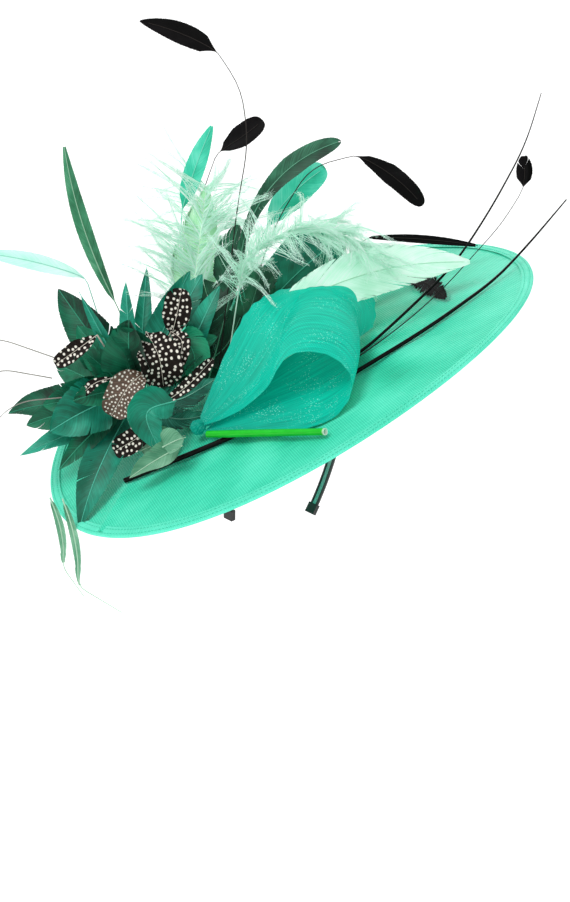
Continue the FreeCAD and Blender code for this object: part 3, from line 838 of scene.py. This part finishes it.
def make_brim():
    """The straw disc: soft pleats run out from the middle, deepest half way to the rim."""
    tree = tree_of("brim_disc")
    rng = rng_for("brim_disc")
    clock = angles(360)
    reach = np.linspace(0.0, 1.0, 70) ** 0.8 * 0.985
    turns = rng.integers(7, PLEATS, 7)[:, None]
    sizes, phases = rng.uniform(0.3, 1, (7, 1)), rng.uniform(0, 6.3, (7, 1))
    grid = np.zeros((1, 70, 360, 3))
    weave, lift = np.zeros_like(grid), np.zeros((1, 70, 360))
    for i, r in enumerate(reach):
        wave = (sizes * np.sin(turns * clock + phases + 2.5 * r)).sum(axis=0) / sizes.sum()
        for j, c in enumerate(clock):
            u, v = HALF_LENGTH * r * math.cos(c), HALF_WIDTH * r * math.sin(c)
            off = (u * FOLD[0] + v * FOLD[1] - FOLD[2]) / FOLD_WIDTH
            crease = FOLD_RISE * math.exp(-off ** 2) * min(max((r - 0.72) / 0.12, 0), 1) * (v < 0)
            rise = PLEAT_RISE * wave[j] * math.sin(math.pi * r) - SUNK + crease
            grid[0, i, j] = on_brim(tree, u, v, 1) + NORMAL * rise
            weave[0, i, j] = (u / MM, v / MM, 0)
        # Painted light and shade: lighter on the pleats' ridges and darker in their hollows, darker
        # towards the middle and lighter towards the rim.
        lift[0, i] = 0.3 * wave * math.sin(math.pi * min(1, r * 1.1)) - 0.1 + 0.14 * r
    shape = Shape().add_grids(grid, closed=True, weave=weave, lift=lift)
    disc = shape.make("brim_straw", SINAMAY, "sinamay", ["brim_disc"])


# Across the folded strip: how far in from the rim, and how far it puffs up in millimetres.
# The stitches lie where it doesn't puff.
PUFFS = ((11.5 * MM, 0.1), (10.5 * MM, 0.35), (8.6 * MM, 0.0), (7.4 * MM, 0.45), (5 * MM, 0.5),
         (3.2 * MM, 0.0), (2 * MM, 0.4), (0.6 * MM, 0.1))
STITCH, STITCH_PITCH, THREAD_RADIUS = 2.9 * MM, 4.2 * MM, 0.24 * MM


def make_hem():
    """The folded bias strip round the edge, and its two rows of stitches."""
    tree = tree_of("brim_hem_binding")
    clock = angles(720)
    rng = rng_for("hem")
    wander = sum(np.sin(k * clock + rng.uniform(0, 6.3)) for k in (31, 57, 83)) * 0.12
    grid = np.zeros((1, 2 * len(PUFFS), 720, 3))
    weave = np.zeros_like(grid)
    for j, c in enumerate(clock):
        for k, (inwards, puff) in enumerate(PUFFS):
            u = (HALF_LENGTH - inwards) * math.cos(c)
            v = (HALF_WIDTH - inwards) * math.sin(c)
            rise = NORMAL * MM * puff * (1 + wander[j])
            grid[0, k, j] = on_brim(tree, u, v, 1) + rise
            grid[0, -1 - k, j] = on_brim(tree, u, v, -1) - rise
            along = c * (HALF_LENGTH + HALF_WIDTH) / 2 / MM
            weave[0, k, j] = weave[0, -1 - k, j] = (along + inwards / MM, along - inwards / MM, 0)
    shape = Shape().add_grids(grid, closed=True, weave=weave, lift=0.16)
    strip = shape.make("brim_hem_strip", SINAMAY, "hem_bias", ["brim_hem_binding"])
    shape = Shape()
    arch = np.array((-0.1, 0.25, 0.35, 0.25, -0.1))[:, None] * MM * NORMAL
    for row in (row for row, (_, puff) in zip(grid[0], PUFFS) if not puff):
        marks = lengths(row)
        where = np.arange(0, marks[-1] - 4 * MM, STITCH_PITCH)[:, None] + np.linspace(0, STITCH, 5)
        shape.add_tubes(between(where, marks, row) + arch, np.full(where.shape, THREAD_RADIUS), 5)
    stitches = shape.make("brim_hem_stitches", THREAD, "thread")


# ---- headband ----

BAND_DOWN = np.array((0, math.sin(BAND_LEAN), -math.cos(BAND_LEAN)))
BAND_AXIS = np.array((0, math.cos(BAND_LEAN), math.sin(BAND_LEAN)))
SATIN_SKIN = 0.15 * MM
QUARTER = HEAD_RADIUS * math.pi / 2  # length from the band's top to its shoulder
BEND = 12 * MM  # the ribbon bends this far either side of that


def band_spot(side, run, out=0.0, aside=0.0):
    """A point on one half of the band: run is the length from the top along its inside."""
    if run < QUARTER:
        radius, angle, centre = HEAD_RADIUS, run / HEAD_RADIUS, 0.0
    else:
        radius, angle = ARM_RADIUS, math.pi / 2 + (run - QUARTER) / ARM_RADIUS
        centre = HEAD_RADIUS - ARM_RADIUS
    x = side * (centre + (radius + out) * math.sin(angle))
    down = HEAD_RADIUS - (radius + out) * math.cos(angle)
    return np.array((x, 0, 0)) + BAND_DOWN * down + BAND_AXIS * aside


def rounded(value, power):
    return np.sign(value) * abs(value) ** power


def make_band():
    """A satin ribbon wrapped round each half of the spring, joined along the inside."""
    whole = QUARTER + ARM_RADIUS * ARM_SWEEP
    turn = np.linspace(-0.5, 0.5, 25)[1:-1]
    for side, name in ((-1, "right"), (1, "left")):
        grid = np.zeros((1, 110, len(turn), 3))
        weave = np.zeros_like(grid)
        for i, run in enumerate(np.linspace(0, whole, 110)):
            crease = 0.12 * MM * math.sin(run / MM * 0.9) * math.exp(-((run - QUARTER) / BEND) ** 2)
            thick = BAND_THICKNESS / 2 + SATIN_SKIN + crease
            for j, t in enumerate(turn):
                out = BAND_THICKNESS / 2 + rounded(math.cos(CIRCLE * t), 0.7) * thick
                aside = rounded(math.sin(CIRCLE * t), 0.45) * (BAND_WIDTH / 2 + SATIN_SKIN)
                grid[0, i, j] = band_spot(side, run, out, aside)
                weave[0, i, j] = (run / MM, t * 27, 0)
        shape = Shape().add_grids(grid, weave=weave, lift=0.0)
        ribbon = shape.make("band_ribbon_" + name, SATIN, "satin_black",
                            ["band_satin_top", "band_satin_" + name], body=None)
        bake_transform(ribbon)


# ---- pad, patch, binding and knot ----

def softened(node, voxel, name):
    """A felt solid with its edges rounded and its faces slightly uneven."""
    piece = placed(name, frame["nodes"][node].data.copy())
    texture = bpy.data.textures.new(name, "CLOUDS")
    texture.noise_scale = 0.008
    for kind, settings in (("REMESH", {"mode": "VOXEL", "voxel_size": voxel}),
                           ("SMOOTH", {"iterations": 4}),
                           ("DISPLACE", {"texture": texture, "strength": voxel * 0.4,
                                         "texture_coords": "GLOBAL"})):
        modifier = piece.modifiers.new(kind, kind)
        for key, value in settings.items():
            setattr(modifier, key, value)
    evaluated = piece.evaluated_get(bpy.context.evaluated_depsgraph_get())
    piece.data = bpy.data.meshes.new_from_object(evaluated)
    piece.modifiers.clear()
    piece.data.materials.clear()
    piece.data.materials.append(FELT.material)
    piece.data.shade_smooth()
    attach(piece, "root")
    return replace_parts(piece, node)


def round_rod(node, outwards):
    """The foot, the way to the other end, and the radius of a straight round solid."""
    spots = np.concatenate([np.concatenate(ends) for ends in solids_of(node)])
    middle = spots.mean(axis=0)
    axis = np.linalg.svd(spots - middle, full_matrices=False)[2][0]
    axis = axis if axis @ outwards > 0 else -axis
    along = (spots - middle) @ axis
    radius = size_of(spots - middle - along[:, None] * axis).max()
    return middle + axis * along.min(), axis * np.ptp(along), radius


def make_base():
    """The pad, the patch, and the tape wound in turns round the feathers' stems."""
    softened("base_pad", 0.9 * MM, "base_pad_felt")
    softened("spray_felt_patch", 0.5 * MM, "spray_patch_felt")
    foot, rod, radius = round_rod("spray_binding", NORMAL)
    t = np.linspace(0.12, 1, 130)
    path = foot + rod * t[:, None]
    wound = radius * (0.93 + 0.09 * ((t * 16) % 1))
    wound[[1, -2]] = radius * 0.6
    wound[[0, -1]] = radius * 0.01
    path[[1, -2]] = path[[0, -1]]
    shape = Shape().add_tubes(path[None], wound[None], 28)
    shape.make("spray_binding_tape", TAPE, "binding_tape", ["spray_binding"])


def make_knot():
    """The crinoline's gathered end: a ball of tight folds drawn in by thread."""
    low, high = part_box("crinoline_knot")
    radius = (high - low)[0] * 0.36
    a = angles(96)
    b = np.linspace(0.02, math.pi - 0.02, 40)[:, None]
    axis = unit(middle_of("crinoline_loop_front") - KNOT)
    side = unit(np.cross(axis, SHOW_UP))
    folds = 1 - 0.10 * np.abs(np.sin(a * 7 + 1.5 * np.sin(3 * b)))
    waist = 1 - 0.22 * np.exp(-((b - 1.3) / 0.16) ** 2)
    around = side * np.cos(a)[:, None] + np.cross(axis, side) * np.sin(a)[:, None]
    ball = axis * np.cos(b)[..., None] + around * np.sin(b)[..., None]
    grid = (KNOT + ball * (radius * folds * waist)[..., None])[None]
    weave = stacked(b * 11, a * 20, 0)[None]
    # Painted shade: lift=-0.4 darkens the knot as if shaded in its tight folds.
    shape = Shape().add_grids(grid, closed=True, weave=weave, lift=-0.4, cover=0.6)
    shape.make("crinoline_knot_folds", CRINOLINE, "crinoline", ["crinoline_knot"])


# ---- crinoline loops ----

# The two selvedges of each stretch of braid, from the knot and back, in millimetres right of,
# above and towards the show side of the knot
FRONT_LOOP = (
    ((6, -4, 10), (38, -7, 36), (68, -6, 56), (97, -3, 70), (121, 5, 78), (138, 21, 80),
     (144, 38, 78), (139, 54, 74), (124, 66, 70), (103, 70, 66), (86, 66, 62), (76, 54, 56),
     (66, 37, 46), (44, 18, 32), (22, 7, 18), (6, 2, 8)),
    ((8, -2, -4), (34, 24, 4), (62, 48, 2), (88, 68, -4), (114, 82, -12), (138, 92, -22),
     (150, 104, -30), (149, 118, -34), (139, 130, -34), (124, 136, -32), (106, 135, -30),
     (93, 127, -28), (84, 106, -24), (58, 66, -14), (28, 28, -6), (6, 4, 0)))
BACK_LOOP = (
    ((4, 0, 4), (32, 18, 14), (58, 42, 20), (80, 76, 12), (92, 104, -2), (104, 116, -14),
     (128, 118, -14), (146, 106, -30), (142, 80, -34), (110, 45, -20), (60, 16, -6), (6, 0, 0)),
    ((2, 10, 0), (14, 42, -8), (34, 89, -18), (51, 117, -26), (74, 131, -34), (110, 140, -42),
     (148, 143, -50), (168, 130, -52), (171, 104, -50), (156, 68, -44), (99, 30, -26), (4, 2, -4)))


def braid(shape, selvedges, puff, ripple, rng):
    """A gathered stretch of braid between two selvedges, puffed in its middle."""
    first, second = (smooth_curve(KNOT + shown(points) * MM, 150) for points in selvedges)
    s = np.linspace(0, 1, 60)
    grid = first[:, None] * (1 - s[:, None]) + second[:, None] * s[:, None]
    along = np.linspace(0, 1, 150)[:, None]
    out = unit(grid - grid.mean(axis=(0, 1)))
    opened = np.sin(math.pi * along)
    folds = sum(np.sin(s * k + rng.uniform(0, 6.3)) / k for k in (23, 37, 61)) * 0.9
    ends = np.clip(12 * np.minimum(along, 1 - along), 0, 1)
    gathers = 14 * MM * folds * (1 - opened) ** 1.5 * ends
    edge, hem = (np.exp(-s / wide) + np.exp(-(1 - s) / wide) for wide in (0.03, 0.012))
    wavy = ripple * MM * np.sin(along * 130 + 3 * s) * edge * opened
    puffed = puff * MM * np.sin(math.pi * s) * opened
    grid = above_brim(grid + out * (puffed + gathers + wavy)[..., None])
    weave = stacked(lengths(grid[:, 30])[:, None] / MM, s * 75, 0)
    packed = 0.5 * (1 - opened) ** 2
    inside = np.clip(1 - along / 0.45, 0, 1) ** 0.5
    # Painted light and shade: lighter where the loop opens into its dome, darker in the packed
    # gathers and on the first stretch from the knot, where the inner face shows. The darker
    # selvedges (hem) are the braid's own.
    tone = 0.15 * opened - 0.2 * packed - 0.1 * inside - 0.1 * hem
    shape.add_grids(grid[None], weave=weave[None], lift=tone[None],
                    cover=(0.42 + 0.35 * hem + packed + 0.25 * inside)[None])


def make_crinoline():
    for node, selvedges, puff, ripple, width in (("crinoline_loop_front", FRONT_LOOP, 7, 0.5, 0.13),
                                                 ("crinoline_loop_back", BACK_LOOP, 5, 1.0, 0.05)):
        shape = Shape()
        braid(shape, selvedges, puff, ripple, rng_for(node))
        loop = shape.make(node + "_braid", CRINOLINE, "crinoline", [node])


def make_green_quill():
    """A hollow dyed quill, cut square, with its pale pith showing at the cut."""
    foot, rod, radius = round_rod("green_quill", middle_of("green_quill") - KNOT)
    places = np.append(np.linspace(0, 1, 60), [1.0, 1.0, 0.97, 0.5])[:, None]
    scale = np.append(0.94 + 0.04 * np.sin(np.linspace(0, 5, 60)), [0.9, 0.72, 0.68, 0.6])
    aside = unit(np.cross(rod, SHOW_UP))
    turn = angles(32)[:, None]
    ring = aside * np.cos(turn) + np.cross(unit(rod), aside) * np.sin(turn)
    grid = (foot + rod * places)[:, None] + ring * (radius * scale)[:, None, None]
    cut = np.append(np.zeros(59), np.ones(5))[:, None]
    mm = stacked(places * 4, turn[:, 0] * 3, 0)[None]
    shape = Shape().add_grids(grid[None], closed=True, **dyed(mm, shaft=cut))
    shape.make("green_quill_shaft", GREEN, "quill_green", ["green_quill"])


# ---- kept CAD nodes, stage and camera ----

KEPT = ((STEEL, ("brim_edge_wire", "band_core_top", "band_core_right", "band_core_left")),
        (CAP, ("band_tip_right", "band_tip_left")), (THREAD, ("base_stitches",)))


def dress_kept_nodes():
    for look, nodes in KEPT:
        for node in nodes:
            mesh = frame["nodes"][node].data
            mesh.materials.clear()
            mesh.materials.append(look.material)


# The paper's profile: metres behind the object, and above the floor
BACKDROP = ((-3.0, 0.0), (1.2, 0.0), (1.9, 0.1), (2.4, 0.45), (2.6, 1.0), (2.6, 4.0))
# Each light: right, up and towards in metres, its size in metres, and its power in watts
LIGHTS = (("key", -1.3, 1.6, 1.3, 1.2, 27), ("fill", 1.8, 0.6, 1.5, 1.6, 8),
          ("back", 0.4, 1.6, -1.5, 1.4, 10))
DAYLIGHT = 0.62


def make_stage():
    """A pale floor that curves up into a backdrop, and soft studio light."""
    profile = smooth_curve([(FLOOR + up, -back) for back, up in BACKDROP], 60)
    shape = Shape().add_grids(shown([[(wide, *spot) for wide in (-4, 4)] for spot in profile])[None])
    paper = grainy("paper", "f6f7f6", "fdfdfd", 60, 0.02 * MM, Roughness=0.9,
                   Emission_Color=(1, 1, 1, 1), Emission_Strength=0.3)
    shape.stand("floor", paper)
    world = bpy.data.worlds.new("studio")
    world.use_nodes = True
    sky = world.node_tree.nodes["Background"].inputs
    sky["Color"].default_value = (1, 1, 1, 1)
    sky["Strength"].default_value = DAYLIGHT
    bpy.context.scene.world = world
    for name, right, up, towards, size, power in LIGHTS:
        light = bpy.data.lights.new(name, "AREA")
        light.size = size
        light.energy = power
        spot = Vector(shown((right, up, towards)))
        lamp = placed(name, light)
        lamp.location = spot
        lamp.rotation_euler = spot.to_track_quat("Z", "Y").to_euler()


def make_camera():
    data = bpy.data.cameras.new("camera")
    data.sensor_fit = "VERTICAL"
    data.sensor_height = SENSOR
    data.lens = LENS
    back = Vector(TOWARDS * math.cos(ELEVATION) + SHOW_UP * math.sin(ELEVATION))
    camera = placed("camera", data)
    camera.location = Vector(AIM) + back * DISTANCE
    camera.rotation_euler = back.to_track_quat("Z", "Y").to_euler()
    scene = bpy.context.scene
    scene.camera = camera
    scene.view_settings.view_transform = "Standard"


make_camera()
make_brim()
make_hem()
make_band()
make_base()
make_feathers()
make_plumes()
make_bare_quills()
make_knot()
make_crinoline()
make_green_quill()
dress_kept_nodes()
make_stage()
